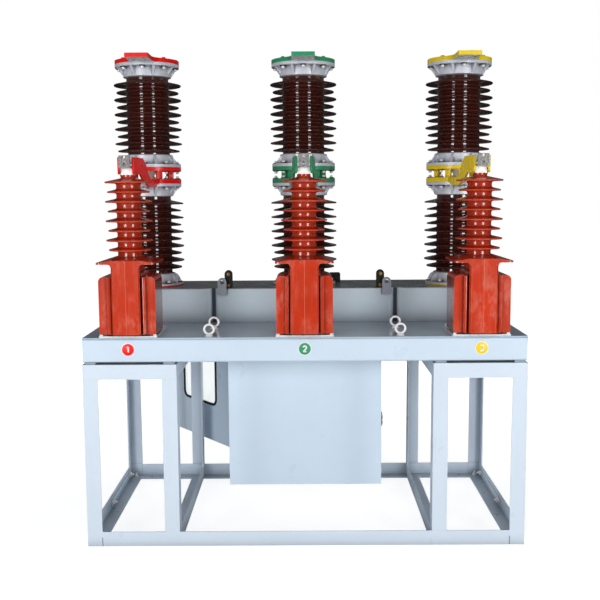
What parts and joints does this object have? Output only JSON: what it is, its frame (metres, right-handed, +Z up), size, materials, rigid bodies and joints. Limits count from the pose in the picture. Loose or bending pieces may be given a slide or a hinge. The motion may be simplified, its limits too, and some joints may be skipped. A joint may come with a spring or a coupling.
{
  "type": "outdoor vacuum circuit breaker",
  "caption": "Outdoor vacuum circuit breaker with brown porcelain poles, red current transformers, an angle-iron stand and a drive box with an open rear door.",
  "frame": {"origin": "ground level at the centre of the stand's four foundation holes", "axes": "+X along the row of poles, +Y from the transformers' side to the drive box's door side, +Z up"},
  "size_m": [1.768, 1.299, 2.026],
  "materials": {
    "frame_paint": "satin",
    "dark_paint": "satin",
    "housing_paint": "satin",
    "zinc_steel": "satin",
    "black_plastic": "matte",
    "cast_aluminium": "satin",
    "brown_glaze": "gloss",
    "red_paint": "satin",
    "green_paint": "satin",
    "yellow_paint": "satin",
    "insulating_rod": "satin",
    "red_epoxy": "satin",
    "bare_metal": "satin",
    "black_paint": "satin",
    "window_glass": "clear",
    "black_rubber": "matte",
    "cream_plastic": "matte"
  },
  "bodies": {
    "root": {"legs": "frame_paint", "bottom_long_rails": "frame_paint", "bottom_side_rails": "frame_paint", "top_long_rails": "frame_paint", "top_side_rails": "frame_paint", "packing_plates": "zinc_steel", "long_beams": "frame_paint", "cross_members": "dark_paint", "deck_plate": "dark_paint", "drive_housing": "housing_paint", "lifting_lugs": "housing_paint", "eye_bolts": "zinc_steel", "black_straps": "black_plastic", "vent_block": "black_plastic", "hubs_1": "cast_aluminium", "hubs_2": "cast_aluminium", "hubs_3": "cast_aluminium", "lower_porcelain_1": "brown_glaze", "lower_porcelain_2": "brown_glaze", "lower_porcelain_3": "brown_glaze", "upper_porcelain_1": "brown_glaze", "upper_porcelain_2": "brown_glaze", "upper_porcelain_3": "brown_glaze", "outlet_lantern_1": "red_paint", "outlet_lantern_2": "green_paint", "outlet_lantern_3": "yellow_paint", "top_terminal_1": "red_paint", "top_terminal_2": "green_paint", "top_terminal_3": "yellow_paint", "drive_rods": "insulating_rod", "ct_body_1": "red_epoxy", "ct_body_2": "red_epoxy", "ct_body_3": "red_epoxy", "ct_terminals": "bare_metal", "ct_base_plates": "zinc_steel", "box_side_panels": "frame_paint", "box_front_panel": "frame_paint", "box_roof_and_floor": "frame_paint", "box_latch": "black_plastic", "box_hinges": "zinc_steel", "mechanism_plates": "zinc_steel", "mechanism_shaft": "bare_metal", "mechanism_springs": "black_paint", "charging_motor": "dark_paint", "terminal_strip": "cream_plastic"},
    "door": {"door_leaf": "frame_paint", "door_window": "window_glass", "door_gasket": "black_rubber", "door_hinges": "zinc_steel", "door_handle": "black_plastic"}
  },
  "joints": [
    {"name": "door_hinge", "type": "hinge", "parent": "root", "child": "door", "pos_m": [-0.333, 0.28, 0.47], "axis": [0, 0, 1], "range_deg": [-127, 3]}
  ]
}
